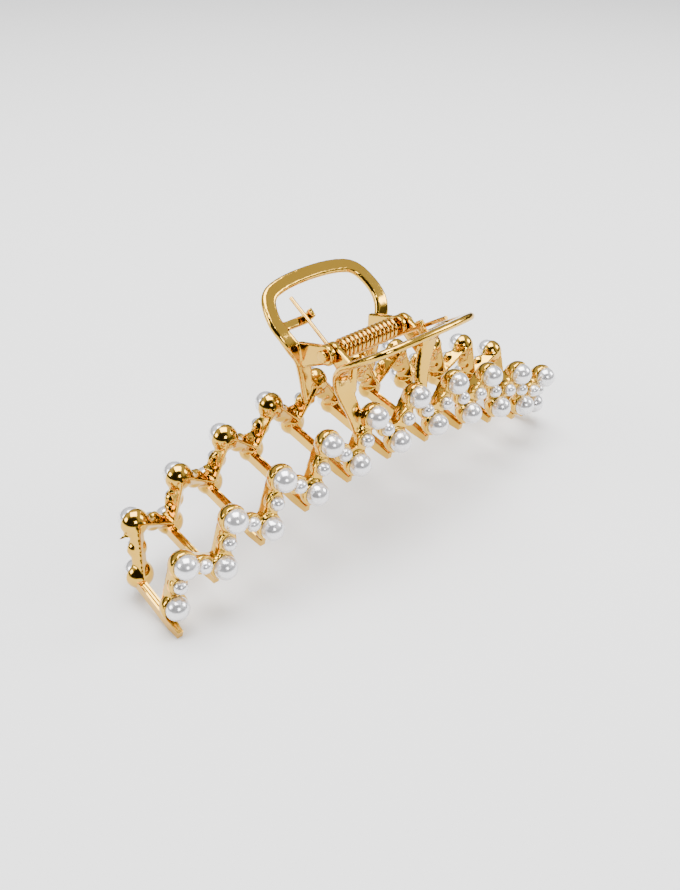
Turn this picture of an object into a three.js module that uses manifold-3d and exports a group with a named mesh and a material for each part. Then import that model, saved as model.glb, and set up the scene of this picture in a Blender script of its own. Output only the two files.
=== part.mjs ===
// A large metal hair claw: two identical die-cast jaws set with imitation pearls, hinged on a pin and closed by
// a torsion spring. Millimetres, +Z up, the pin along X, the lowest points of the comb on Z = 0.
import * as THREE from "three";
import { mergeVertices } from "three/addons/utils/BufferGeometryUtils.js";
import Module from "manifold-3d";

const wasm = await Module();
wasm.setup();

// Driving dimensions, in millimetres and degrees. Heights count from the crown of the upper cup row.
const PEARL_DIAMETER = 5;
const PEARL_GAP = 0.3;
const CUP_WALL = 0.6;
const CUP_RIM = 0.4; // how far the rim passes the pearl's middle
const CUP_BACK = 3.9; // from the pearl's middle to the flat behind the cup
const SMALL_CUP_DIAMETER = 4.4;
const SMALL_CUP_RIM = -0.4;

// Each row of cups lies on an arc seen from the side; the pinch draws its ends in towards the other jaw.
const UPPER_ROW = { count: 10, radius: 113.3, step: 6.4, crown: 0.2, halfGap: 10.6, pinch: 1.2 };
const LOWER_ROW = { count: 11, radius: 110, step: 6.2, crown: -8.2, halfGap: 11.7, pinch: 3.2 };
const PINCH_POWER = 4;
const END_TUCK = 2.4; // the first lower cup lies this much nearer the other jaw

const STRUT_WIDTH = 3.6;
const STRUT_FRONT = 1.1; // depths behind the line through the pearls' middles
const STRUT_SHOULDER = 2.1;
const STRUT_RIDGE = 4.2;
const RIDGE_RISE = 0.9;

const TOOTH_WIDTH = 1.5;
const TOOTH_HEIGHT = 2.2;
const TOOTH_TAPER = 0.75; // tip size as a share of the root size
const TOOTH_ROOT = 2.5; // depth of the root behind the pearls' middles
const TOOTH_ROOT_DROP = 0.8;
const TOOTH_SHORT = 1.8; // how far the tip stays behind the middles of the other jaw's pearls
const TOOTH_DROP = 10; // below level
const END_TOOTH_PAST = 2; // the first tooth passes the other jaw's pearls
const END_TOOTH_DROP = 16; // the first and last teeth are steeper
const TOOTH_OFFSET = -1.1; // along the comb from the middle of the cup
const STUB_LENGTH = 3; // the near jaw has short teeth

const PIN_HEIGHT = 12;
const PIN_DIAMETER = 2;
const PIN_CLEARANCE = 0.1;
const PIN_HEAD_DIAMETER = 2.8;
const PIN_HEAD_LENGTH = 0.6;
const EAR_THICKNESS = 1.4;
const EAR_RADIUS = 2.3;
const EAR_OUTER_X = 11.2; // the middle of each jaw's outer ear
const EAR_PLAY = 0.4;
const EAR_ROOT_TOP = -0.5; // heights at the leg, from the pin
const EAR_ROOT_FOOT = -6.8;

const LEG_Y = 8.2;
const LEG_FOOT = -4.5;
const LEG_FOOT_X = 8.8;
const FOOT_WIDTH = 3.2;
const BEND_RADIUS = 8;
const HANDLE_THICKNESS = 1.5;
const HANDLE_WIDTH = 3.3;
const HANDLE_HALF_SPAN = 14.3; // to the centre line of a side bar
// Each jaw's legs lean this far towards the hinge up to the bend. The knee is where the bend starts, its height is
// from the crown, the tilt is above level, and the reach is from the end of the bend to the top bar's centre line.
const GRIPS = {
  far: { lean: 0.2, kneeX: 11.1, kneeHeight: 7.4, kneeWidth: 3.6, tilt: 38, reach: 10.4 },
  near: { lean: 2.2, kneeX: 12.4, kneeHeight: 8, kneeWidth: 4.2, tilt: 35, reach: 10.7 },
};

const LUG_FROM_BEND = 0.8; // from the end of the bend to the lug's middle
const LUG_WIDTH = 2;
const LUG_TAB = 1; // thickness of the upturned end
const LUG_UPTURN = 2.2;
const LUG_SIDE_GAP = 0.35; // between the upturned end and the spring's leg

const WIRE_DIAMETER = 0.9;
const COIL_RADIUS = 1.9;
const COIL_TURNS = 13;
const COIL_END_GAP = 0.4;
const ARM_LENGTH = 16.5;
const ARM_GAP = 0.3; // between the spring's leg and the lug it presses on

const CUP_SIDES = 8;
const SMALL_CUP_SIDES = 6;
const PEARL_SIDES = 8;
const PIN_SIDES = 20;
const HANDLE_STEPS = 32;
const WIRE_SIDES = 4;
const COIL_STEPS_PER_TURN = 8;

const rad = THREE.MathUtils.degToRad;
const INWARD = new THREE.Vector3(0, -1, 0);
const UP = new THREE.Vector3(0, 0, 1);

// Solids: closed three.js geometry to manifold-3d and back.
function solid(geometry) {
  const bare = geometry.clone();
  bare.deleteAttribute("normal");
  bare.deleteAttribute("uv");
  const merged = mergeVertices(bare, 1e-4);
  return new wasm.Manifold(
    new wasm.Mesh({
      numProp: 3,
      vertProperties: new Float32Array(merged.attributes.position.array),
      triVerts: new Uint32Array(merged.index.array),
    }),
  );
}

function geometryOf(manifold) {
  const mesh = manifold.getMesh();
  const geometry = new THREE.BufferGeometry();
  geometry.setAttribute("position", new THREE.BufferAttribute(new Float32Array(mesh.vertProperties), 3));
  geometry.setIndex(new THREE.BufferAttribute(new Uint32Array(mesh.triVerts), 1));
  const faceted = geometry.toNonIndexed();
  faceted.computeVertexNormals();
  return faceted;
}

function joined(solids) {
  return solids.reduce((whole, next) => whole.add(next));
}

// A bar through rings of points. Every ring lists the same section, clockwise seen along the bar.
function loft(rings) {
  const sides = rings[0].length;
  const faces = [];
  for (let i = 0; i + 1 < rings.length; i++) {
    for (let j = 0; j < sides; j++) {
      const a = i * sides + j;
      const b = i * sides + ((j + 1) % sides);
      faces.push(a, b, b + sides, a, b + sides, a + sides);
    }
  }
  const last = (rings.length - 1) * sides;
  for (let j = 1; j + 1 < sides; j++) {
    faces.push(0, j + 1, j, last, last + j, last + j + 1);
  }
  const geometry = new THREE.BufferGeometry().setFromPoints(rings.flat());
  geometry.setIndex(faces);
  return solid(geometry);
}

// A box section of the given half width and half height, clockwise seen along the bar.
function boxRing(centre, side, halfSide, top, halfTop) {
  const corners = [
    [1, 1],
    [1, -1],
    [-1, -1],
    [-1, 1],
  ];
  return corners.map(([a, b]) =>
    centre
      .clone()
      .addScaledVector(side, a * halfSide)
      .addScaledVector(top, b * halfTop),
  );
}

// Comb, for the jaw on the +Y side. The zigzag runs from the first lower cup to the last one.
const halfLength = LOWER_ROW.radius * Math.sin(rad((LOWER_ROW.step * (LOWER_ROW.count - 1)) / 2));

function rowPoint(row, index) {
  const angle = rad(row.step * (index - (row.count - 1) / 2));
  const x = row.radius * Math.sin(angle);
  const y = row.halfGap - row.pinch * Math.abs(x / halfLength) ** PINCH_POWER;
  const z = row.crown - row.radius * (1 - Math.cos(angle));
  return new THREE.Vector3(x, y, z);
}

const upperCups = Array.from({ length: UPPER_ROW.count }, (_, i) => rowPoint(UPPER_ROW, i));
const lowerCups = Array.from({ length: LOWER_ROW.count }, (_, i) => rowPoint(LOWER_ROW, i));
lowerCups[0].y -= END_TUCK;
const zigzag = lowerCups.flatMap((cup, i) => (i < UPPER_ROW.count ? [cup, upperCups[i]] : [cup]));

// The struts are one bar bent at every cup, flat outside and ridged inside, with mitred corners.
function zigzagBar() {
  const section = [
    [-1, STRUT_FRONT, 0],
    [-1, STRUT_SHOULDER, 0],
    [0, STRUT_RIDGE, RIDGE_RISE],
    [1, STRUT_SHOULDER, 0],
    [1, STRUT_FRONT, 0],
  ];
  const sides = zigzag.slice(1).map((cup, i) => cup.clone().sub(zigzag[i]).cross(INWARD).normalize());
  const rings = zigzag.map((centre, i) => {
    const before = sides[Math.max(0, i - 1)];
    const after = sides[Math.min(i, sides.length - 1)];
    const mitre = before
      .clone()
      .add(after)
      .divideScalar(1 + before.dot(after));
    return section.map(([share, depth, rise]) =>
      centre
        .clone()
        .addScaledVector(mitre, (share * STRUT_WIDTH) / 2)
        .addScaledVector(INWARD, depth)
        .addScaledVector(UP, rise),
    );
  });
  return loft(rings);
}

function turned(profile, sides, centre) {
  const points = profile.map(([radius, height]) => new THREE.Vector2(radius, height));
  const geometry = new THREE.LatheGeometry(points, sides);
  geometry.translate(centre.x, centre.y, centre.z);
  return solid(geometry);
}

function pearlCup(centre) {
  const outer = PEARL_DIAMETER / 2 + PEARL_GAP + CUP_WALL;
  const profile = [
    [0, -CUP_BACK],
    [outer * 0.7, -CUP_BACK],
    [outer, CUP_RIM],
    [0, CUP_RIM],
  ];
  return turned(profile, CUP_SIDES, centre);
}

function smallCup(centre) {
  const radius = SMALL_CUP_DIAMETER / 2;
  const profile = [
    [0, -STRUT_SHOULDER],
    [radius, -STRUT_SHOULDER],
    [radius, SMALL_CUP_RIM],
    [0, SMALL_CUP_RIM],
  ];
  return turned(profile, SMALL_CUP_SIDES, centre);
}

// Places along the pin, out from its middle: each jaw's inner ear, and the ends of the spring's coil.
const earInnerX = EAR_OUTER_X - EAR_THICKNESS - EAR_PLAY;
const coilHalf = earInnerX - EAR_THICKNESS / 2 - COIL_END_GAP - WIRE_DIAMETER / 2;

// The space a pearl needs, cut out of whatever reaches into its cup.
function pearlRoom(centre) {
  const geometry = new THREE.SphereGeometry(PEARL_DIAMETER / 2 + PEARL_GAP, CUP_SIDES, 4);
  geometry.translate(centre.x, centre.y, centre.z);
  return solid(geometry);
}

function tooth(cup, index, stub) {
  const atEnd = index === 0 || index === LOWER_ROW.count - 1;
  const drop = rad(atEnd ? END_TOOTH_DROP : TOOTH_DROP);
  const along = new THREE.Vector3(0, -Math.cos(drop), -Math.sin(drop));
  const across = new THREE.Vector3(1, 0, 0);
  const top = new THREE.Vector3().crossVectors(across, along);
  const root = cup.clone().addScaledVector(INWARD, TOOTH_ROOT);
  root.add(new THREE.Vector3(TOOTH_OFFSET, 0, -TOOTH_ROOT_DROP));
  const opposite = lowerCups[LOWER_ROW.count - 1 - index];
  const span = cup.y + opposite.y - TOOTH_ROOT + (index === 0 ? END_TOOTH_PAST : -TOOTH_SHORT);
  const length = stub ? STUB_LENGTH : span / Math.cos(drop);
  const tip = root.clone().addScaledVector(along, length);
  return loft([
    boxRing(root, across, TOOTH_WIDTH / 2, top, TOOTH_HEIGHT / 2),
    boxRing(tip, across, (TOOTH_WIDTH * TOOTH_TAPER) / 2, top, (TOOTH_HEIGHT * TOOTH_TAPER) / 2),
  ]);
}

// Legs and handle are one flat band, bent once. A place on it is x, the distance s from the foot, and the height
// h above its middle surface on the side that faces the other handle.
function gripOf(side) {
  const { lean, kneeX, kneeHeight, kneeWidth, tilt, reach } = GRIPS[side];
  const legLength = kneeHeight - LEG_FOOT;
  const bendTurn = rad(90 - tilt);
  const bendEnd = legLength + BEND_RADIUS * bendTurn;
  return { lean, kneeX, kneeWidth, legLength, bendTurn, bendEnd, reach, top: bendEnd + reach };
}

const farGrip = gripOf("far");
const nearGrip = gripOf("near");

function onBand(grip, x, s, h) {
  const turn = THREE.MathUtils.clamp((s - grip.legLength) / BEND_RADIUS, 0, grip.bendTurn);
  const beyond = Math.max(0, s - grip.bendEnd);
  const before = Math.min(s, grip.legLength);
  const lean = grip.lean * THREE.MathUtils.smoothstep(s, 0, grip.legLength);
  const y = LEG_Y - lean + BEND_RADIUS * (1 - Math.cos(turn)) + beyond * Math.sin(turn) - h * Math.cos(turn);
  const z = LEG_FOOT + before + BEND_RADIUS * Math.sin(turn) + beyond * Math.cos(turn) + h * Math.sin(turn);
  return new THREE.Vector3(x, y, z);
}

// The band's centre line over one half, foot to top, as x and s.
function halfBand(grip) {
  return [
    [LEG_FOOT_X, 0],
    [THREE.MathUtils.lerp(LEG_FOOT_X, grip.kneeX, 0.45), grip.legLength * 0.55],
    [grip.kneeX, grip.legLength],
    [THREE.MathUtils.lerp(grip.kneeX, HANDLE_HALF_SPAN, 0.7), grip.bendEnd - 3],
    [HANDLE_HALF_SPAN, grip.bendEnd + grip.reach * 0.2],
    [HANDLE_HALF_SPAN * 0.88, grip.top - 2.8],
    [HANDLE_HALF_SPAN * 0.58, grip.top - 0.7],
  ];
}

function bandHalfWidth(grip, s) {
  const { lerp, smoothstep } = THREE.MathUtils;
  const leg = lerp(FOOT_WIDTH, grip.kneeWidth, smoothstep(s, 0, grip.legLength));
  return lerp(leg, HANDLE_WIDTH, smoothstep(s, grip.legLength, grip.bendEnd + grip.reach / 3)) / 2;
}

function band(grip) {
  const right = halfBand(grip).map(([x, s]) => new THREE.Vector2(x, s));
  const left = right.map(({ x, y }) => new THREE.Vector2(-x, y)).reverse();
  const line = new THREE.SplineCurve([...right, new THREE.Vector2(0, grip.top), ...left]);
  const rings = [];
  for (let i = 0; i <= HANDLE_STEPS; i++) {
    const t = i / HANDLE_STEPS;
    const point = line.getPointAt(t);
    const tangent = line.getTangentAt(t);
    const half = bandHalfWidth(grip, point.y);
    const edge = (share, height) =>
      onBand(grip, point.x + tangent.y * half * share, point.y - tangent.x * half * share, height);
    const h = HANDLE_THICKNESS / 2;
    rings.push([edge(1, h), edge(1, -h), edge(-1, -h), edge(-1, h)]);
  }
  return loft(rings);
}

// An arm across the leg's inner edge with an upturned end, which the spring's leg lies on.
function lug(grip) {
  const s = grip.bendEnd + LUG_FROM_BEND;
  const half = LUG_WIDTH / 2;
  const h = HANDLE_THICKNESS / 2;
  const block = (x0, x1, top) =>
    loft(
      [x1, x0].map((x) => [
        onBand(grip, x, s - half, top),
        onBand(grip, x, s + half, top),
        onBand(grip, x, s + half, -h),
        onBand(grip, x, s - half, -h),
      ]),
    );
  const tabOuter = -(coilHalf - WIRE_DIAMETER / 2 - LUG_SIDE_GAP);
  const tabInner = tabOuter + LUG_TAB;
  return block(-HANDLE_HALF_SPAN, tabInner, h).add(block(tabOuter, tabInner, h + LUG_UPTURN));
}

function ear(grip, x) {
  const shape = new THREE.Shape();
  const legFace = LEG_Y - grip.lean + HANDLE_THICKNESS / 2;
  shape.moveTo(legFace, EAR_ROOT_FOOT);
  shape.lineTo(legFace, EAR_ROOT_TOP);
  shape.lineTo(legFace - HANDLE_THICKNESS, EAR_ROOT_TOP);
  shape.absarc(0, 0, EAR_RADIUS, rad(80), rad(260), false);
  const hole = new THREE.Path();
  hole.absarc(0, 0, PIN_DIAMETER / 2 + PIN_CLEARANCE, 0, 2 * Math.PI, true);
  shape.holes.push(hole);
  const settings = { depth: EAR_THICKNESS, bevelEnabled: false, curveSegments: PIN_SIDES };
  const geometry = new THREE.ExtrudeGeometry(shape, settings);
  const axes = new THREE.Matrix4().makeBasis(
    new THREE.Vector3(0, 1, 0),
    new THREE.Vector3(0, 0, 1),
    new THREE.Vector3(1, 0, 0),
  );
  geometry.applyMatrix4(axes);
  geometry.translate(x - EAR_THICKNESS / 2, 0, PIN_HEIGHT);
  return solid(geometry);
}

function jawGeometry(grip, stubs) {
  const middles = zigzag.slice(1).map((cup, i) => cup.clone().add(zigzag[i]).multiplyScalar(0.5));
  const comb = [zigzagBar(), ...middles.map(smallCup), ...zigzag.map(pearlCup), ...lowerCups.map((cup, i) => tooth(cup, i, stubs))];
  const handle = [band(grip), lug(grip), ear(grip, -EAR_OUTER_X), ear(grip, earInnerX)];
  const whole = joined([...comb, ...handle]);
  return geometryOf(whole.subtract(joined(zigzag.map(pearlRoom))));
}

// Hinge pin, headed over at both ends outside the ears.
function pinGeometry() {
  const shank = EAR_OUTER_X + EAR_THICKNESS / 2 + EAR_PLAY;
  const end = shank + PIN_HEAD_LENGTH;
  const radius = PIN_DIAMETER / 2;
  const head = PIN_HEAD_DIAMETER / 2;
  const half = [
    [radius, shank],
    [head, shank],
    [head, end],
    [0, end],
  ];
  const lower = half.map(([r, x]) => new THREE.Vector2(r, -x)).reverse();
  const upper = half.map(([r, x]) => new THREE.Vector2(r, x));
  const geometry = new THREE.LatheGeometry([...lower, ...upper], PIN_SIDES);
  geometry.rotateZ(-Math.PI / 2);
  return geometry;
}

// Torsion spring round the pin: a close coil with a straight leg at each end. A leg leaves the coil's underside
// and clears the outer edge of a lug.
function armAngle(grip) {
  const above = HANDLE_THICKNESS / 2 + ARM_GAP + WIRE_DIAMETER / 2;
  const edge = onBand(grip, 0, grip.bendEnd + LUG_FROM_BEND + LUG_WIDTH / 2, above);
  const rise = edge.z - PIN_HEIGHT;
  return Math.atan2(rise, edge.y) + Math.asin(COIL_RADIUS / Math.hypot(rise, edge.y));
}

class SpringLine extends THREE.Curve {
  constructor() {
    super();
    this.angle = armAngle(farGrip);
    this.turned = 2 * Math.PI * COIL_TURNS + this.angle + armAngle(nearGrip);
    this.coil = Math.hypot(this.turned * COIL_RADIUS, 2 * coilHalf);
    this.total = this.coil + 2 * ARM_LENGTH;
  }

  getPoint(t, target = new THREE.Vector3()) {
    const along = t * this.total - ARM_LENGTH;
    const share = THREE.MathUtils.clamp(along / this.coil, 0, 1);
    const turn = -Math.PI / 2 + this.angle - this.turned * share;
    const out = along < 0 ? along : Math.max(0, along - this.coil);
    return target.set(
      coilHalf * (2 * share - 1),
      COIL_RADIUS * Math.cos(turn) + out * Math.sin(turn),
      COIL_RADIUS * Math.sin(turn) - out * Math.cos(turn),
    );
  }
}

function springGeometry() {
  const line = new SpringLine();
  const shape = new THREE.Shape();
  shape.absarc(0, 0, WIRE_DIAMETER / 2, 0, 2 * Math.PI, false);
  const steps = Math.round((line.total / line.coil) * COIL_TURNS * COIL_STEPS_PER_TURN);
  return new THREE.ExtrudeGeometry(shape, {
    steps,
    curveSegments: WIRE_SIDES / 2,
    extrudePath: line,
  });
}

const gold = () => new THREE.MeshStandardMaterial({ color: 0xe8c27a, roughness: 0.18, metalness: 1 });
const pearl = () => new THREE.MeshStandardMaterial({ color: 0xf4f1f0, roughness: 0.2, metalness: 0 });

function piece(name, geometry, material, position = new THREE.Vector3()) {
  const mesh = new THREE.Mesh(geometry, material);
  mesh.name = name;
  mesh.position.copy(position);
  return mesh;
}

const pearlGeometry = new THREE.SphereGeometry(PEARL_DIAMETER / 2, PEARL_SIDES, PEARL_SIDES / 2);

function jawGroup(side) {
  const group = new THREE.Group();
  group.add(piece(side + "_jaw_casting", jawGeometry(side === "near" ? nearGrip : farGrip, side === "near"), gold()));
  upperCups.forEach((cup, i) => group.add(piece(side + "_upper_pearl_" + (i + 1), pearlGeometry, pearl(), cup)));
  lowerCups.forEach((cup, i) => group.add(piece(side + "_lower_pearl_" + (i + 1), pearlGeometry, pearl(), cup)));
  return group;
}

const far = jawGroup("far");
const near = jawGroup("near");
near.rotation.z = Math.PI;

const axle = new THREE.Vector3(0, 0, PIN_HEIGHT);
const clip = new THREE.Group();
clip.add(far, near);
clip.add(piece("hinge_pin", pinGeometry(), gold(), axle));
clip.add(piece("torsion_spring", springGeometry(), gold(), axle));

// Stand the clip on its lowest points.
clip.position.z = -new THREE.Box3().setFromObject(clip, true).min.z;
const group = new THREE.Group();
group.add(clip);

export default group;
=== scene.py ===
import math

import bpy
from mathutils import Matrix, Vector


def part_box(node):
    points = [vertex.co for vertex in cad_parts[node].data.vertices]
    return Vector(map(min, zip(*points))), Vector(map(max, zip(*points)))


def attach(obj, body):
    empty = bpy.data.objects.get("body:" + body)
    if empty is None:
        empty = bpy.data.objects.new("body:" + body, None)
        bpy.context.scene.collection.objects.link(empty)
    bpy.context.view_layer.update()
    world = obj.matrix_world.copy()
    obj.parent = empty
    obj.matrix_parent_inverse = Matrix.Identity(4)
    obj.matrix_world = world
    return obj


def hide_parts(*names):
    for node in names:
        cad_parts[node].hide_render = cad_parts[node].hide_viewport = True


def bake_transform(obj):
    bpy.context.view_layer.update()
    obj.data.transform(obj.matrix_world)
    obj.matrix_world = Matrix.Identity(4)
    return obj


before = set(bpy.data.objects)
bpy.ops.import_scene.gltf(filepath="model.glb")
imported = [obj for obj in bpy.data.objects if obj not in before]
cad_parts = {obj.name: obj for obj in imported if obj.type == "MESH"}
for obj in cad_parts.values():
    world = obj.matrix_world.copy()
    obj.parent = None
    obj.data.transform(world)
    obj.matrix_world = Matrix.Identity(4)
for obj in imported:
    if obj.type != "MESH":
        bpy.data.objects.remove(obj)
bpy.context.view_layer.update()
bpy.ops.object.select_all(action="DESELECT")

# ---------------------------------------------------------------------------------------------------------
# Camera. It looks down on the claw from the front left, with the left end of the comb nearest.
# The slides put the claw in the frame without turning the view.
MM = 0.001
CAMERA_HEADING, CAMERA_ELEVATION, CAMERA_ROLL = (math.radians(v) for v in (43.35, 34.13, 1.73))
CAMERA_DISTANCE = 210.6 * MM
CAMERA_SLIDE_RIGHT, CAMERA_SLIDE_UP = -5.81 * MM, -11.23 * MM
CAMERA_LENS, CAMERA_SHIFT_RIGHT, CAMERA_SHIFT_UP = 39.13, 0.0026, -0.0069
CAMERA_NEAREST = 10 * MM
CROWN_BELOW_PIN = 12 * MM

pin_low, pin_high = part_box("hinge_pin")
pin = (pin_low + pin_high) / 2
crown = pin - Vector((0, 0, CROWN_BELOW_PIN))

heading = Vector((math.sin(CAMERA_HEADING), math.cos(CAMERA_HEADING), 0))
forward = heading * math.cos(CAMERA_ELEVATION) - Vector((0, 0, math.sin(CAMERA_ELEVATION)))
level_right = Vector((math.cos(CAMERA_HEADING), -math.sin(CAMERA_HEADING), 0))
level = Matrix((level_right, level_right.cross(forward), -forward)).transposed()
aim = level @ Matrix.Rotation(CAMERA_ROLL, 3, "Z")
place = crown - forward * CAMERA_DISTANCE + aim.col[0] * CAMERA_SLIDE_RIGHT + aim.col[1] * CAMERA_SLIDE_UP
bpy.ops.object.camera_add(location=place, rotation=aim.to_euler())
camera = bpy.context.object
camera.name = "camera"
camera.data.lens = CAMERA_LENS
camera.data.shift_x = CAMERA_SHIFT_RIGHT
camera.data.shift_y = CAMERA_SHIFT_UP
camera.data.clip_start = CAMERA_NEAREST
bpy.context.scene.camera = camera

# ---------------------------------------------------------------------------------------------------------
# Floor and light. A pale seamless floor with soft panels round the claw. Between the panels the room is
# darker, so that the polished metal has something to reflect.
FLOOR_SIZE, FLOOR_GAP = 6, 0.2 * MM
bpy.ops.mesh.primitive_plane_add(size=FLOOR_SIZE, location=(0, 0, -FLOOR_GAP))
floor = bpy.context.object
floor.name = "floor"
paper = bpy.data.materials.new("white_paper")
paper.use_nodes = True
paper_shader = paper.node_tree.nodes["Principled BSDF"]
paper_shader.inputs["Base Color"].default_value = (0.95, 0.95, 0.95, 1)
paper_shader.inputs["Roughness"].default_value = 0.9
paper_shader.inputs["Specular IOR Level"].default_value = 0.1
floor.data.materials.append(paper)

PANELS = [
    # name, place, size, power
    ("top_panel", (0.05, 0.10, 0.75), 0.60, 13),
    ("left_panel", (-0.75, 0.30, 0.45), 0.35, 4),
    ("right_panel", (0.70, -0.40, 0.50), 0.35, 5),
    ("front_panel", (-0.30, -0.85, 0.60), 0.30, 4),
]
for name, where, size, power in PANELS:
    towards = (pin - Vector(where)).to_track_quat("-Z", "Y").to_euler()
    bpy.ops.object.light_add(type="AREA", location=where, rotation=towards)
    panel = bpy.context.object
    panel.name = name
    panel.data.size = size
    panel.data.energy = power

room = bpy.data.worlds.new("room")
room.use_nodes = True
bpy.context.scene.world = room
background = room.node_tree.nodes["Background"]
direction = room.node_tree.nodes.new("ShaderNodeTexCoord")
height = room.node_tree.nodes.new("ShaderNodeSeparateXYZ")
ramp = room.node_tree.nodes.new("ShaderNodeValToRGB")
room.node_tree.links.new(direction.outputs["Generated"], height.inputs["Vector"])
room.node_tree.links.new(height.outputs["Z"], ramp.inputs["Fac"])
ROOM_BANDS = [
    # height of the direction (0 level, 1 overhead), brightness
    (0.0, 0.25),
    (0.12, 0.12),
    (0.30, 0.12),
    (0.42, 0.7),
    (0.60, 0.8),
    (0.80, 0.8),
    (0.92, 0.35),
]
stops = ramp.color_ramp.elements
stops[0].position, stops[1].position = ROOM_BANDS[0][0], ROOM_BANDS[-1][0]
for position, _ in ROOM_BANDS[1:-1]:
    stops.new(position)
for stop, (_, bright) in zip(stops, ROOM_BANDS):
    stop.color = (bright, bright, bright, 1)
background.inputs["Strength"].default_value = 1.0

# A dark card behind the camera, and a second one to the left, seen as dark patches in the gloss.
DARK_CARDS = [
    # direction, cosine of the angle from it at the card's edge and where it is fully dark
    (-forward, 0.62, 0.82),
    (Vector((-0.9, 0.1, 0.35)), 0.90, 0.97),
]
shaded = ramp.outputs["Color"]
for towards, edge, core in DARK_CARDS:
    facing = room.node_tree.nodes.new("ShaderNodeVectorMath")
    facing.operation = "DOT_PRODUCT"
    facing.inputs[1].default_value = towards.normalized()
    cover = room.node_tree.nodes.new("ShaderNodeMapRange")
    cover.interpolation_type = "SMOOTHSTEP"
    cover.inputs["From Min"].default_value = edge
    cover.inputs["From Max"].default_value = core
    card = room.node_tree.nodes.new("ShaderNodeMix")
    card.data_type = "RGBA"
    card.inputs["B"].default_value = (0.02, 0.02, 0.02, 1)
    room.node_tree.links.new(direction.outputs["Generated"], facing.inputs[0])
    room.node_tree.links.new(facing.outputs["Value"], cover.inputs["Value"])
    room.node_tree.links.new(cover.outputs["Result"], card.inputs["Factor"])
    room.node_tree.links.new(shaded, card.inputs["A"])
    shaded = card.outputs["Result"]
room.node_tree.links.new(shaded, background.inputs["Color"])

# ---------------------------------------------------------------------------------------------------------
# Comb of one jaw: a zigzag of struts with a cup at every corner and in the middle of every strut, die-cast in
# zinc alloy in one piece with the teeth, legs and handle. It is made in the far jaw's place, outside to +Y.
STRUT_WIDTH = 3.0 * MM
STRUT_FRONT, STRUT_SHOULDER, STRUT_RIDGE = 1.1 * MM, 2.1 * MM, 4.2 * MM
RIDGE_RISE = 0.9 * MM
RIDGE_WIDTH = 0.12  # as a share of the strut's width
WEB_LENGTH, WEB_THICKNESS, WEB_BEHIND = 5.2 * MM, 1.5 * MM, 1.15 * MM
WEB_HALF_SIDE = 0.866  # of the three-sided start, whose radius is 1
CUP_RADIUS, CUP_DEPTH, CUP_RIM = 2.95 * MM, 1.15 * MM, 0.7 * MM
SMALL_CUP_RADIUS, SMALL_CUP_DEPTH, SMALL_CUP_RIM = 2.15 * MM, 1.1 * MM, 0.8 * MM
UPPER_CUP_RISE, LOWER_CUP_RISE = -0.1 * MM, -0.2 * MM
INWARD = Vector((0, -1, 0))
UP = Vector((0, 0, 1))


def middle(node):
    low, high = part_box(node)
    return (low + high) / 2


upper_cups = [middle(f"far_upper_pearl_{i}") for i in range(1, 11)]
lower_cups = [middle(f"far_lower_pearl_{i}") for i in range(1, 12)]
zigzag = [cup for pair in zip(lower_cups, upper_cups) for cup in pair] + [lower_cups[-1]]
struts = list(zip(zigzag, zigzag[1:]))


def only(piece):
    """Makes piece the one selected and active object."""
    bpy.ops.object.select_all(action="DESELECT")
    piece.select_set(True)
    bpy.context.view_layer.objects.active = piece
    return piece


def settle(piece):
    """Puts a piece's place, turn and scale into its mesh."""
    only(piece)
    bpy.ops.object.transform_apply(location=True, rotation=True, scale=True)
    return piece


def edit_faces(piece, test):
    """Opens piece in edit mode with the faces that pass the test selected."""
    only(piece)
    bpy.ops.object.mode_set(mode="EDIT")
    bpy.ops.mesh.select_mode(type="FACE")
    bpy.ops.mesh.select_all(action="DESELECT")
    bpy.ops.object.mode_set(mode="OBJECT")
    for face in piece.data.polygons:
        face.select = test(face)
    bpy.ops.object.mode_set(mode="EDIT")


def done_editing():
    bpy.ops.mesh.select_all(action="DESELECT")
    bpy.ops.object.mode_set(mode="OBJECT")


def placed(piece, matrix):
    """A copy of piece with its own mesh, put in place by matrix."""
    other = piece.copy()
    other.data = piece.data.copy()
    other.data.transform(matrix)
    if matrix.determinant() < 0:
        other.data.flip_normals()
    bpy.context.collection.objects.link(other)
    return other


def joined(pieces, name):
    bpy.ops.object.select_all(action="DESELECT")
    for piece in pieces:
        piece.select_set(True)
    bpy.context.view_layer.objects.active = pieces[0]
    bpy.ops.object.join()
    whole = bpy.context.object
    whole.name = whole.data.name = name
    return whole


def apply_modifiers(piece):
    only(piece)
    for modifier in list(piece.modifiers):
        bpy.ops.object.modifier_apply(modifier=modifier.name)


# One strut of unit length along X, flat outside and drawn in to a raised ridge inside.
bpy.ops.mesh.primitive_cube_add(size=1, location=(0, -(STRUT_FRONT + STRUT_SHOULDER) / 2, 0))
strut = bpy.context.object
strut.scale = (1, STRUT_SHOULDER - STRUT_FRONT, STRUT_WIDTH)
settle(strut)
edit_faces(strut, lambda face: face.normal.y < -0.9)
to_ridge = (0, STRUT_SHOULDER - STRUT_RIDGE, RIDGE_RISE)
bpy.ops.mesh.extrude_region_move(TRANSFORM_OT_translate={"value": to_ridge})
bpy.ops.transform.resize(value=(1, 1, RIDGE_WIDTH), center_override=(0, -STRUT_RIDGE, RIDGE_RISE))
done_editing()

# One web, a wedge that fills the crotch between two struts. It points up, and its ridge is on the inside.
bpy.ops.mesh.primitive_cylinder_add(
    vertices=3, radius=1, depth=1, location=(0, 0, 0), rotation=(math.pi / 2, 0, 0)
)
web = settle(bpy.context.object)
edit_faces(web, lambda face: face.normal.y < -0.9)
bpy.ops.transform.resize(value=(0.4, 1, 0.4), center_override=(0, -0.5, 0.2))
done_editing()
web_low, web_high = min(v.co.z for v in web.data.vertices), max(v.co.z for v in web.data.vertices)

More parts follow.
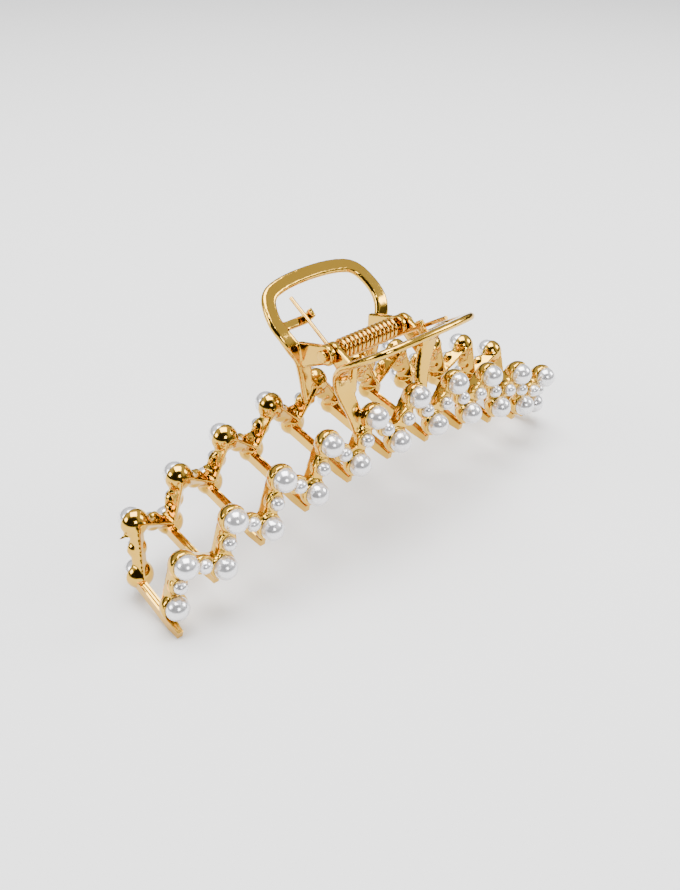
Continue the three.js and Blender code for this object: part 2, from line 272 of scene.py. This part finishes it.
casting_parts = []
for start, end in struts:
    along = end - start
    across = Vector((-along.z, 0, along.x)).normalized()
    if across.z < 0:
        across.negate()
    turn = Matrix((along, Vector((0, 1, 0)), across)).transposed().to_4x4()
    casting_parts.append(placed(strut, Matrix.Translation((start + end) / 2) @ turn))
for before, node, after in zip(zigzag, zigzag[1:], zigzag[2:]):
    open_side = ((before - node).normalized() + (after - node).normalized()).normalized()
    sign = 1 if open_side.z > 0 else -1
    tip_width = abs((after - node).normalized().x) * WEB_LENGTH
    reach = abs((after - node).normalized().z) * WEB_LENGTH
    stretch = reach / (web_high - web_low)
    size = Matrix.Diagonal((tip_width / WEB_HALF_SIDE, WEB_THICKNESS, -sign * stretch, 1))
    lift = node + INWARD * (STRUT_FRONT + WEB_BEHIND) + UP * (sign * stretch * web_high)
    casting_parts.append(placed(web, Matrix.Translation(lift) @ size))
bpy.data.objects.remove(strut)
bpy.data.objects.remove(web)

# One cup: a ball with its front cut off behind the pearl's middle.
bpy.ops.mesh.primitive_uv_sphere_add(segments=32, ring_count=16, radius=1, rotation=(math.pi / 2, 0, 0))
ball = settle(bpy.context.object)


def cup(radius, depth, rim, rise):
    """A ball cup round the origin, open towards +Y."""
    made = placed(ball, Matrix.Translation((0, -depth, rise)) @ Matrix.Scale(radius, 4))
    only(made)
    bpy.ops.object.mode_set(mode="EDIT")
    bpy.ops.mesh.select_all(action="SELECT")
    bpy.ops.mesh.bisect(plane_co=(0, -rim, 0), plane_no=(0, 1, 0), clear_outer=True, use_fill=True)
    done_editing()
    return made


upper_cup = cup(CUP_RADIUS, CUP_DEPTH, CUP_RIM, UPPER_CUP_RISE)
lower_cup = cup(CUP_RADIUS, CUP_DEPTH, CUP_RIM, LOWER_CUP_RISE)
small_cup = cup(SMALL_CUP_RADIUS, SMALL_CUP_DEPTH, SMALL_CUP_RIM, 0)
casting_parts += [placed(upper_cup, Matrix.Translation(at)) for at in upper_cups]
casting_parts += [placed(lower_cup, Matrix.Translation(at)) for at in lower_cups]
casting_parts += [placed(small_cup, Matrix.Translation((start + end) / 2)) for start, end in struts]
for used in (upper_cup, lower_cup, small_cup):
    bpy.data.objects.remove(used)

# ---------------------------------------------------------------------------------------------------------
# Legs and handle of each jaw: one flat band that rises from the comb, bends once and closes in a loop for the
# thumb, with a lug for the spring and two ears for the pin. It is cast in one piece with the comb.
LEG_Y, LEG_FOOT, LEG_FOOT_X = 8.2 * MM, -4.5 * MM, 8.8 * MM
BEND_RADIUS, BAND_THICKNESS = 8 * MM, 1.5 * MM
FOOT_WIDTH, HANDLE_WIDTH, HANDLE_HALF_SPAN = 3.2 * MM, 3.3 * MM, 14.3 * MM
BAND_EDGE, BAND_STEPS = 0.42 * MM, 10
LUG_FROM_BEND, LUG_WIDTH, LUG_TOP, TAB_TOP = 0.8 * MM, 2 * MM, 0.5 * MM, 2.95 * MM
LUG_OUTER, TAB_OUTER, TAB_INNER = -13.5 * MM, -7.05 * MM, -6.05 * MM
EAR_RADIUS, EAR_THICKNESS = 2.3 * MM, 1.4 * MM
EAR_PLACES = (-11.2 * MM, 9.4 * MM)
EAR_HEIGHT, EAR_ROOT_HEIGHT, EAR_ROOT_DROP = 4.4 * MM, 6.3 * MM, 3.65 * MM
PEARL_ROOM, SMALL_PEARL_ROOM, SMALL_PEARL_DEPTH = 2.56 * MM, 1.55 * MM, 0.4 * MM
BORE_RADIUS, BORE_LENGTH = 1.1 * MM, 30 * MM
CAST_GRAIN = 0.26 * MM  # the size of the cells in which the parts of a casting are merged


def eased(value, start, end):
    share = min(max((value - start) / (end - start), 0), 1)
    return share * share * (3 - 2 * share)


class Grip:
    """The shape of one jaw's legs and handle. The knee is where the bend starts."""

    def __init__(self, lean, knee_x, knee_height, knee_width, tilt, reach):
        self.lean, self.reach = lean * MM, reach * MM
        self.knee_x, self.knee_width = knee_x * MM, knee_width * MM
        self.leg_length = knee_height * MM - LEG_FOOT
        self.bend_turn = math.radians(90 - tilt)
        self.bend_end = self.leg_length + BEND_RADIUS * self.bend_turn
        self.top = self.bend_end + self.reach

    def bent(self, co):
        """A place on the flat band, x and y along it and z above it, bent over the hinge."""
        turn = min(max((co.y - self.leg_length) / BEND_RADIUS, 0), self.bend_turn)
        beyond = max(0, co.y - self.bend_end)
        rise = min(co.y, self.leg_length)
        y = LEG_Y - self.lean * eased(co.y, 0, self.leg_length) + BEND_RADIUS * (1 - math.cos(turn))
        y += beyond * math.sin(turn) - co.z * math.cos(turn)
        z = LEG_FOOT + rise + BEND_RADIUS * math.sin(turn) + beyond * math.cos(turn) + co.z * math.sin(turn)
        return crown + Vector((co.x, y, z))

    def width(self, s):
        leg = FOOT_WIDTH + (self.knee_width - FOOT_WIDTH) * eased(s, 0, self.leg_length)
        return leg + (HANDLE_WIDTH - leg) * eased(s, self.leg_length, self.bend_end + self.reach / 3)

    def half_line(self):
        return [
            Vector((x, s, 0))
            for x, s in (
                (LEG_FOOT_X, 0),
                (LEG_FOOT_X + (self.knee_x - LEG_FOOT_X) * 0.45, self.leg_length * 0.55),
                (self.knee_x, self.leg_length),
                (self.knee_x + (HANDLE_HALF_SPAN - self.knee_x) * 0.7, self.bend_end - 3 * MM),
                (HANDLE_HALF_SPAN, self.bend_end + self.reach * 0.2),
                (HANDLE_HALF_SPAN * 0.88, self.top - 2.8 * MM),
                (HANDLE_HALF_SPAN * 0.58, self.top - 0.7 * MM),
            )
        ]


def smooth_line(points, steps):
    """A Catmull-Rom line through points."""
    ends = [points[0] * 2 - points[1], *points, points[-1] * 2 - points[-2]]
    line = []
    for a, b, c, d in zip(ends, ends[1:], ends[2:], ends[3:]):
        for i in range(steps):
            t = i / steps
            straight = b * 2 + (c - a) * t
            square, cube = (a * 2 - b * 5 + c * 4 - d) * t**2, (b * 3 - a - c * 3 + d) * t**3
            line.append((straight + square + cube) / 2)
    return [*line, points[-1]]


def band_shell(grip):
    """The flat band as one strip of chamfered section with closed ends, bent over the hinge."""
    right = grip.half_line()
    left = [Vector((-p.x, p.y, 0)) for p in reversed(right)]
    centre = smooth_line([*right, Vector((0, grip.top, 0)), *left], BAND_STEPS)
    rings = []
    for i, at in enumerate(centre):
        along = (centre[min(i + 1, len(centre) - 1)] - centre[max(i - 1, 0)]).normalized()
        side = Vector((along.y, -along.x, 0))
        half, thick = grip.width(at.y) / 2, BAND_THICKNESS / 2
        inner, lower = half - BAND_EDGE, thick - BAND_EDGE
        section = [(half, lower), (inner, thick), (-inner, thick), (-half, lower)]
        section += [(-w, -h) for w, h in section]
        rings.append([grip.bent(at + side * w + Vector((0, 0, h))) for w, h in section])
    sides = len(rings[0])
    faces = []
    for i in range(len(rings) - 1):
        for j in range(sides):
            k = (j + 1) % sides
            faces.append((i * sides + j, i * sides + k, (i + 1) * sides + k, (i + 1) * sides + j))
    faces += [tuple(range(sides)), tuple((len(rings) - 1) * sides + j for j in reversed(range(sides)))]
    mesh = bpy.data.meshes.new("band")
    mesh.from_pydata([co for ring in rings for co in ring], [], faces)
    shell = bpy.data.objects.new("band", mesh)
    bpy.context.collection.objects.link(shell)
    only(shell)
    bpy.ops.object.mode_set(mode="EDIT")
    bpy.ops.mesh.select_all(action="SELECT")
    bpy.ops.mesh.normals_make_consistent(inside=False)
    done_editing()
    return shell


def lug_block(grip, x0, x1, top):
    """A block across the band, from its outer face up to the given height."""
    place = grip.bend_end + LUG_FROM_BEND
    bpy.ops.mesh.primitive_cube_add(size=1, location=((x0 + x1) / 2, place, (top - BAND_THICKNESS / 2) / 2))
    block = bpy.context.object
    block.scale = (x1 - x0, LUG_WIDTH, top + BAND_THICKNESS / 2)
    settle(block)
    for vertex in block.data.vertices:
        vertex.co = grip.bent(vertex.co)
    return block


def ear(grip, x):
    """A plate from the leg to the pin with a round end."""
    at = pin + Vector((x, 0, 0))
    leg_face = LEG_Y - grip.lean + BAND_THICKNESS / 2
    bpy.ops.mesh.primitive_cylinder_add(
        vertices=40, radius=EAR_RADIUS, depth=EAR_THICKNESS, location=at, rotation=(0, math.pi / 2, 0)
    )
    barrel = settle(bpy.context.object)
    bpy.ops.mesh.primitive_cube_add(size=1, location=at + Vector((0, leg_face / 2, 0)))
    plate = bpy.context.object
    plate.scale = (EAR_THICKNESS, leg_face, EAR_HEIGHT)
    settle(plate)
    edit_faces(plate, lambda face: face.normal.y > 0.9)
    drop = Vector((0, 0, -EAR_ROOT_DROP))
    root = at + Vector((0, leg_face, 0)) + drop
    bpy.ops.transform.translate(value=drop)
    bpy.ops.transform.resize(value=(1, 1, EAR_ROOT_HEIGHT / EAR_HEIGHT), center_override=root)
    done_editing()
    return [barrel, plate]


grips = {"far": Grip(0.2, 11.1, 7.4, 3.6, 38, 10.4), "near": Grip(2.2, 12.4, 8, 4.2, 35, 10.7)}
comb = joined(casting_parts, "comb")
pearl_seats = [placed(ball, Matrix.Translation(at) @ Matrix.Scale(PEARL_ROOM, 4)) for at in zigzag]
for start, end in struts:
    seat = Matrix.Translation((start + end) / 2 + INWARD * SMALL_PEARL_DEPTH)
    seat @= Matrix.Scale(SMALL_PEARL_ROOM, 4)
    pearl_seats.append(placed(ball, seat))
bpy.ops.mesh.primitive_cylinder_add(
    vertices=40, radius=BORE_RADIUS, depth=BORE_LENGTH, location=pin, rotation=(0, math.pi / 2, 0)
)
cutter = joined([*pearl_seats, settle(bpy.context.object)], "cutter")

# Comb, band, lug and ears are one casting: grown together, softened as tumbling does, seated and bored.
castings = {}
for side, grip in grips.items():
    parts = [placed(comb, Matrix.Identity(4)), band_shell(grip)]
    parts.append(lug_block(grip, LUG_OUTER, TAB_INNER, LUG_TOP))
    parts.append(lug_block(grip, TAB_OUTER, TAB_INNER, TAB_TOP))
    for x in EAR_PLACES:
        parts += ear(grip, x)
    casting = joined(parts, f"{side}_casting")
    merge = casting.modifiers.new("grown_together", "REMESH")
    merge.mode = "VOXEL"
    merge.voxel_size = CAST_GRAIN
    soften = casting.modifiers.new("tumbled", "SMOOTH")
    soften.factor = 0.5
    soften.iterations = 4
    bore = casting.modifiers.new("pearl_seats", "BOOLEAN")
    bore.operation = "DIFFERENCE"
    bore.solver = "MANIFOLD"
    bore.object = cutter
    apply_modifiers(casting)
    castings[side] = casting
for used in (comb, cutter):
    bpy.data.objects.remove(used)

# ---------------------------------------------------------------------------------------------------------
# Teeth: grooved tapering bars, cast on the inside of the lower cups. The far jaw's reach behind the near
# jaw's cups and the near jaw's are short stubs. They complete the two castings, which are then gold plated.
TOOTH_WIDTH, TOOTH_HEIGHT, TOOTH_TAPER = 1.6 * MM, 2.2 * MM, 0.75
TOOTH_ROOT, TOOTH_ROOT_DROP, TOOTH_OFFSET = 2.5 * MM, 0.8 * MM, -1.1 * MM
TOOTH_DROP, END_TOOTH_DROP = 10, 16  # degrees below level
TOOTH_SHORT, END_TOOTH_PAST, STUB_LENGTH = 1.8 * MM, 2 * MM, 3 * MM
GROOVE_FROM, GROOVE_TO, GROOVE_ROOT, GROOVE_HEIGHT = 0.1, 0.3, 0.05, 0.72  # as shares of the tooth's size
bpy.ops.mesh.primitive_cube_add(size=1, location=(0, -0.5, 0))
tooth = bpy.context.object
tooth.scale = (TOOTH_WIDTH, 1, TOOTH_HEIGHT)
settle(tooth)
edit_faces(tooth, lambda face: True)
bpy.ops.mesh.subdivide(number_cuts=4)
done_editing()


def in_groove(face):
    across = abs(face.center.x) / TOOTH_WIDTH
    return abs(face.normal.z) > 0.9 and GROOVE_FROM < across < GROOVE_TO and face.center.y < -GROOVE_ROOT


edit_faces(tooth, in_groove)
# An inset of no width gives the groove upright walls.
bpy.ops.mesh.inset(thickness=0.0, depth=0)
bpy.ops.transform.resize(value=(1, 1, GROOVE_HEIGHT), center_override=(0, -0.5, 0))
done_editing()
edit_faces(tooth, lambda face: face.normal.y < -0.9)
bpy.ops.transform.resize(value=(TOOTH_TAPER, 1, TOOTH_TAPER), center_override=(0, -1, 0))
done_editing()
long_teeth, short_teeth = [], []
for i, at in enumerate(lower_cups):
    at_end = i in (0, len(lower_cups) - 1)
    drop = math.radians(END_TOOTH_DROP if at_end else TOOTH_DROP)
    span = at.y + lower_cups[-1 - i].y - TOOTH_ROOT + (END_TOOTH_PAST if i == 0 else -TOOTH_SHORT)
    root = at + INWARD * TOOTH_ROOT + Vector((TOOTH_OFFSET, 0, -TOOTH_ROOT_DROP))
    for length, row in ((span / math.cos(drop), long_teeth), (STUB_LENGTH, short_teeth)):
        shape = Matrix.Rotation(drop, 4, "X") @ Matrix.Diagonal((1, length, 1, 1))
        row.append(placed(tooth, Matrix.Translation(root) @ shape))
bpy.data.objects.remove(tooth)
half_turn = Matrix.Rotation(math.pi, 4, "Z")
near_casting = joined([castings["near"], *short_teeth], "near_casting")
near_casting.data.transform(half_turn)
far_casting = joined([castings["far"], *long_teeth], "far_casting")
for piece in (far_casting, near_casting):
    only(piece)
    bpy.ops.object.shade_smooth_by_angle(angle=math.radians(40))


def plated(name, colour, roughness):
    """Bright plating over a cast or drawn surface: polishing marks in the gloss and a slight unevenness."""
    made = bpy.data.materials.new(name)
    made.use_nodes = True
    tree = made.node_tree
    shader = tree.nodes["Principled BSDF"]
    shader.inputs["Metallic"].default_value = 1
    place = tree.nodes.new("ShaderNodeTexCoord")
    tint = tree.nodes.new("ShaderNodeTexNoise")
    tint.inputs["Scale"].default_value = 160
    shade = tree.nodes.new("ShaderNodeMix")
    shade.data_type = "RGBA"
    shade.inputs["A"].default_value = (*colour, 1)
    shade.inputs["B"].default_value = (colour[0] * 0.95, colour[1] * 0.88, colour[2] * 0.75, 1)
    marks = tree.nodes.new("ShaderNodeTexNoise")
    marks.inputs["Scale"].default_value = 1200
    marks.inputs["Detail"].default_value = 5
    gloss = tree.nodes.new("ShaderNodeMapRange")
    gloss.inputs["To Min"].default_value = roughness * 0.6
    gloss.inputs["To Max"].default_value = roughness * 1.5
    waves = tree.nodes.new("ShaderNodeTexNoise")
    waves.inputs["Scale"].default_value = 350
    waves.inputs["Detail"].default_value = 1
    bump = tree.nodes.new("ShaderNodeBump")
    bump.inputs["Strength"].default_value = 0.25
    bump.inputs["Distance"].default_value = 0.0003
    for texture in (tint, marks, waves):
        tree.links.new(place.outputs["Object"], texture.inputs["Vector"])
    tree.links.new(tint.outputs["Fac"], shade.inputs["Factor"])
    tree.links.new(shade.outputs["Result"], shader.inputs["Base Color"])
    tree.links.new(marks.outputs["Fac"], gloss.inputs["Value"])
    tree.links.new(gloss.outputs["Result"], shader.inputs["Roughness"])
    tree.links.new(waves.outputs["Fac"], bump.inputs["Height"])
    tree.links.new(bump.outputs["Normal"], shader.inputs["Normal"])
    return made


gold_plate = plated("gold_plate", (0.69, 0.42, 0.06), 0.11)
for piece, side in ((far_casting, "far"), (near_casting, "near")):
    piece.data.materials.clear()
    piece.data.materials.append(gold_plate)
    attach(piece, f"{side}_jaw")
    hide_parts(f"{side}_jaw_casting")

# ---------------------------------------------------------------------------------------------------------
# Hinge pin: a plain steel rod through all four ears, plated gold like the jaws. Both ends are headed over,
# which holds it in without screws.
PIN_RADIUS, PIN_SHANK, PIN_HEAD_RADIUS, PIN_HEAD = 1 * MM, 12.3 * MM, 1.4 * MM, 0.6 * MM
HEAD_EDGE = 0.25 * MM
bpy.ops.mesh.primitive_cylinder_add(
    vertices=32, radius=PIN_RADIUS, depth=2 * PIN_SHANK, location=pin, rotation=(0, math.pi / 2, 0)
)
hinge_pin = settle(bpy.context.object)
heads = []
for side in (-1, 1):
    at = pin + Vector((side * (PIN_SHANK + PIN_HEAD / 2), 0, 0))
    bpy.ops.mesh.primitive_cylinder_add(
        vertices=32, radius=PIN_HEAD_RADIUS, depth=PIN_HEAD, location=at, rotation=(0, math.pi / 2, 0)
    )
    head = settle(bpy.context.object)
    edge = head.modifiers.new("upset_edge", "BEVEL")
    edge.width, edge.segments = HEAD_EDGE, 3
    apply_modifiers(head)
    heads.append(head)
hinge_pin = joined([hinge_pin, *heads], "pin")
only(hinge_pin)
bpy.ops.object.shade_smooth_by_angle(angle=math.radians(40))
hinge_pin.data.materials.clear()
hinge_pin.data.materials.append(gold_plate)
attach(hinge_pin, "far_jaw")
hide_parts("hinge_pin")

# ---------------------------------------------------------------------------------------------------------
# Torsion spring: drawn and plated steel wire, wound close round the pin, with a straight leg at each end.
# The legs lie on the lugs of the two jaws and press the claw shut.
WIRE_RADIUS, COIL_RADIUS, COIL_HALF, COIL_TURNS = 0.45 * MM, 1.9 * MM, 7.85 * MM, 13
ARM_LENGTH, ARM_GAP, ARM_STEPS, COIL_STEPS = 16.5 * MM, 0.3 * MM, 8, 416


def arm_angle(grip):
    """How far above level the spring's straight leg leaves the coil to clear the lug's edge."""
    above = BAND_THICKNESS / 2 + ARM_GAP + WIRE_RADIUS
    lug_edge = grip.bent(Vector((0, grip.bend_end + LUG_FROM_BEND + LUG_WIDTH / 2, above))) - pin
    return math.atan2(lug_edge.z, lug_edge.y) + math.asin(COIL_RADIUS / lug_edge.length)


far_angle = arm_angle(grips["far"])
turned = 2 * math.pi * COIL_TURNS + far_angle + arm_angle(grips["near"])


def on_coil(share, out):
    """A place on the wire, by its share of the coil and how far past the coil's end it is."""
    turn = -math.pi / 2 + far_angle - turned * share
    return pin + Vector(
        (
            COIL_HALF * (2 * share - 1),
            COIL_RADIUS * math.cos(turn) + out * math.sin(turn),
            COIL_RADIUS * math.sin(turn) - out * math.cos(turn),
        )
    )


wire_line = [on_coil(0, -ARM_LENGTH * (1 - i / ARM_STEPS)) for i in range(ARM_STEPS)]
wire_line += [on_coil(i / COIL_STEPS, 0) for i in range(COIL_STEPS + 1)]
wire_line += [on_coil(1, ARM_LENGTH * (i + 1) / ARM_STEPS) for i in range(ARM_STEPS)]
bpy.ops.curve.primitive_nurbs_path_add()
spring = bpy.context.object
spring.data.splines.clear()
line = spring.data.splines.new("POLY")
line.points.add(len(wire_line) - 1)
for point, at in zip(line.points, wire_line):
    point.co = (*at, 1)
spring.data.bevel_depth = WIRE_RADIUS
spring.data.bevel_resolution = 4
spring.data.use_fill_caps = True
only(spring)
spring.location = (0, 0, 0)
bpy.ops.object.convert(target="MESH")
spring = bpy.context.object
settle(spring)
spring.name = spring.data.name = "spring"
only(spring)
bpy.ops.object.shade_smooth_by_angle(angle=math.radians(50))
spring_wire = plated("spring_wire", (0.70, 0.42, 0.09), 0.14)
spring.data.materials.clear()
spring.data.materials.append(spring_wire)
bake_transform(spring)
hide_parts("torsion_spring")

# ---------------------------------------------------------------------------------------------------------
# Pearls: moulded plastic beads with a pearl lacquer, a large one at every corner of the zigzag and a small
# one in the middle of every strut. Each is glued in its cup by a flat on its back.
PEARL_RADIUS, PEARL_FLAT = 2.5 * MM, 2.1 * MM
SMALL_PEARL_RADIUS, SMALL_PEARL_FLAT = 1.5 * MM, 1.2 * MM
pearl = bpy.data.materials.new("pearl_lacquer")
pearl.use_nodes = True
tree = pearl.node_tree
shader = tree.nodes["Principled BSDF"]
shader.inputs["Roughness"].default_value = 0.2
shader.inputs["Metallic"].default_value = 0.72
shader.inputs["Coat Weight"].default_value = 0.6
shader.inputs["Coat Roughness"].default_value = 0.06
shader.inputs["Sheen Weight"].default_value = 0.2
place = tree.nodes.new("ShaderNodeTexCoord")
cloud = tree.nodes.new("ShaderNodeTexNoise")
cloud.inputs["Scale"].default_value = 260
lacquer = tree.nodes.new("ShaderNodeMix")
lacquer.data_type = "RGBA"
lacquer.inputs["A"].default_value = (0.90, 0.88, 0.88, 1)
lacquer.inputs["B"].default_value = (0.78, 0.78, 0.82, 1)
tree.links.new(place.outputs["Object"], cloud.inputs["Vector"])
tree.links.new(cloud.outputs["Fac"], lacquer.inputs["Factor"])
tree.links.new(lacquer.outputs["Result"], shader.inputs["Base Color"])


def bead(radius, flat):
    """A ball cut flat on its back, at the given depth behind its middle."""
    made = placed(ball, Matrix.Scale(radius, 4))
    only(made)
    bpy.ops.object.mode_set(mode="EDIT")
    bpy.ops.mesh.select_all(action="SELECT")
    bpy.ops.mesh.bisect(plane_co=(0, -flat, 0), plane_no=(0, -1, 0), clear_outer=True, use_fill=True)
    done_editing()
    bpy.ops.object.shade_smooth_by_angle(angle=math.radians(30))
    made.data.materials.clear()
    made.data.materials.append(pearl)
    return made


big_bead = bead(PEARL_RADIUS, PEARL_FLAT)
small_bead = bead(SMALL_PEARL_RADIUS, SMALL_PEARL_FLAT)
for side, turn in (("far", Matrix.Identity(4)), ("near", half_turn)):
    for row, cups in (("upper", upper_cups), ("lower", lower_cups)):
        for i, at in enumerate(cups):
            pearl_piece = placed(big_bead, turn @ Matrix.Translation(at))
            pearl_piece.name = pearl_piece.data.name = f"{side}_{row}_bead_{i + 1}"
            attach(pearl_piece, f"{side}_jaw")
            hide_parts(f"{side}_{row}_pearl_{i + 1}")
    for i, (start, end) in enumerate(struts):
        seat = Matrix.Translation((start + end) / 2 + INWARD * SMALL_PEARL_DEPTH)
        pearl_piece = placed(small_bead, turn @ seat)
        pearl_piece.name = pearl_piece.data.name = f"{side}_small_bead_{i + 1}"
        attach(pearl_piece, f"{side}_jaw")
for used in (ball, big_bead, small_bead):
    bpy.data.objects.remove(used)
